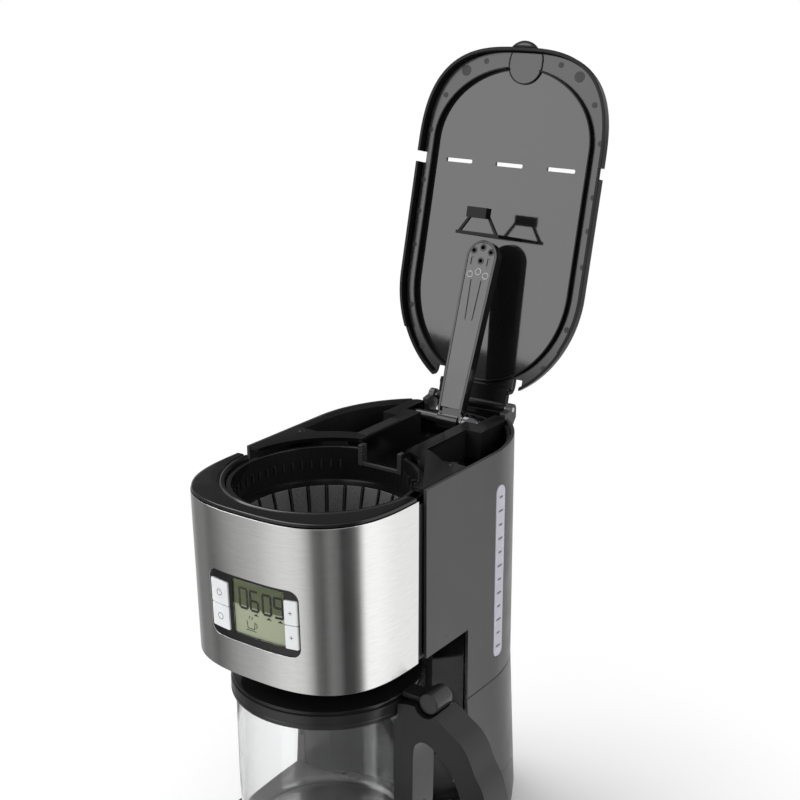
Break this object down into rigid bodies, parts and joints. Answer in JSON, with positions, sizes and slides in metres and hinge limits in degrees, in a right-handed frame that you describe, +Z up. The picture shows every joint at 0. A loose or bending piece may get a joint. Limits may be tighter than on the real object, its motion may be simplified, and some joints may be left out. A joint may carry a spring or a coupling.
{
  "type": "drip coffee maker",
  "caption": "Upright drip coffee maker with a steel front, hinged lid with a swing-over spray arm, lift-out filter basket, rear water tank, display and a glass jug on a hot plate.",
  "frame": {"origin": "on the flat underside of the bottom cover, directly below the jug's axis; the rubber feet stand about 3 mm lower", "axes": "+Z up, -Y towards the front with the display, +X towards the side with the level window and the jug's handle"},
  "size_m": [0.2278, 0.3522, 0.582],
  "materials": {
    "gloss_black": "gloss",
    "satin_black": "satin",
    "warm_grey": "satin",
    "dark_grey": "gloss",
    "lid_grey": "gloss",
    "mid_grey": "satin",
    "steel": "brushed",
    "button_silver": "satin",
    "aluminium": "satin",
    "rubber": "matte",
    "board": "matte",
    "clear_glass": "polished",
    "lens": "polished",
    "lcd": "satin",
    "gauge": "satin",
    "hose": "satin"
  },
  "bodies": {
    "machine": {"steel_front_cover": "steel", "control_bezel": "gloss_black", "display_lens": "lens", "lcd_display": "lcd", "circuit_board": "board", "brew_head_shell": "satin_black", "basket_well": "satin_black", "top_ring": "gloss_black", "tank_housing": "warm_grey", "level_window": "gauge", "top_deck": "gloss_black", "water_tank": "satin_black", "tank_strainer": "aluminium", "inlet_hose": "hose", "check_valve": "button_silver", "riser_tube": "hose", "base_housing": "warm_grey", "base_tray": "warm_grey", "column_front_panel": "gloss_black", "bottom_cover": "satin_black", "foot_1": "rubber", "foot_2": "rubber", "foot_3": "rubber", "foot_4": "rubber", "bottom_screw_1": "aluminium", "bottom_screw_2": "aluminium", "bottom_screw_3": "aluminium", "bottom_screw_4": "aluminium", "hot_plate": "aluminium", "hot_plate_ring": "rubber", "heating_element": "aluminium", "thermostat": "aluminium", "thermal_fuse": "aluminium", "cord_gland": "rubber", "lid_hinge_pin": "aluminium"},
    "lid": {"lid_shell": "gloss_black", "lid_inner_panel": "lid_grey", "lid_finger_tab": "gloss_black", "lid_arm_guide": "satin_black"},
    "spray_arm": {"spray_arm": "dark_grey", "spray_plate": "mid_grey", "arm_pivot_shaft": "dark_grey", "pivot_end_cap": "dark_grey"},
    "basket": {"filter_basket": "gloss_black", "basket_grip": "mid_grey", "drip_spring": "aluminium"},
    "drip_stop": {"drip_valve": "dark_grey"},
    "jug": {"glass_jug": "clear_glass", "jug_collar": "dark_grey", "jug_lid": "gloss_black", "jug_lid_knob": "dark_grey", "jug_handle": "satin_black", "jug_handle_screw": "aluminium"},
    "power_button": {"power_button": "button_silver"},
    "program_button": {"program_button": "button_silver"},
    "hour_button": {"hour_button": "button_silver"},
    "minute_button": {"minute_button": "button_silver"}
  },
  "joints": [
    {"name": "lid_hinge", "type": "hinge", "parent": "machine", "child": "lid", "pos_m": [0, 0.187, 0.3076], "axis": [-1, 0, 0], "range_deg": [-103.85, 0]},
    {"name": "arm_pivot", "type": "hinge", "parent": "machine", "child": "spray_arm", "pos_m": [0, 0.157, 0.3], "axis": [-1, 0, 0], "range_deg": [-109.1, 0]},
    {"name": "basket_lift", "type": "slide", "parent": "machine", "child": "basket", "axis": [0, 0, 1], "range_m": [0, 0.115]},
    {"name": "drip_valve_lift", "type": "slide", "parent": "basket", "child": "drip_stop", "axis": [0, 0, 1], "range_m": [0, 0.003], "stiffness_N_per_m": 120, "springref_m": -0.003, "deforming": ["drip_spring"]},
    {"name": "jug_pull_out", "type": "slide", "parent": "machine", "child": "jug", "axis": [0, -1, 0], "range_m": [0, 0.22]},
    {"name": "power_button_press", "type": "slide", "parent": "machine", "child": "power_button", "axis": [0, 1, 0], "range_m": [0, 0.0008], "stiffness_N_per_m": 400, "springref_m": -0.0006},
    {"name": "program_button_press", "type": "slide", "parent": "machine", "child": "program_button", "axis": [0, 1, 0], "range_m": [0, 0.0008], "stiffness_N_per_m": 400, "springref_m": -0.0006},
    {"name": "hour_button_press", "type": "slide", "parent": "machine", "child": "hour_button", "axis": [0, 1, 0], "range_m": [0, 0.0008], "stiffness_N_per_m": 400, "springref_m": -0.0006},
    {"name": "minute_button_press", "type": "slide", "parent": "machine", "child": "minute_button", "axis": [0, 1, 0], "range_m": [0, 0.0008], "stiffness_N_per_m": 400, "springref_m": -0.0006}
  ],
  "couplings": [
    {"joint": "arm_pivot", "follows": "lid_hinge", "ratio": 1.05}
  ]
}
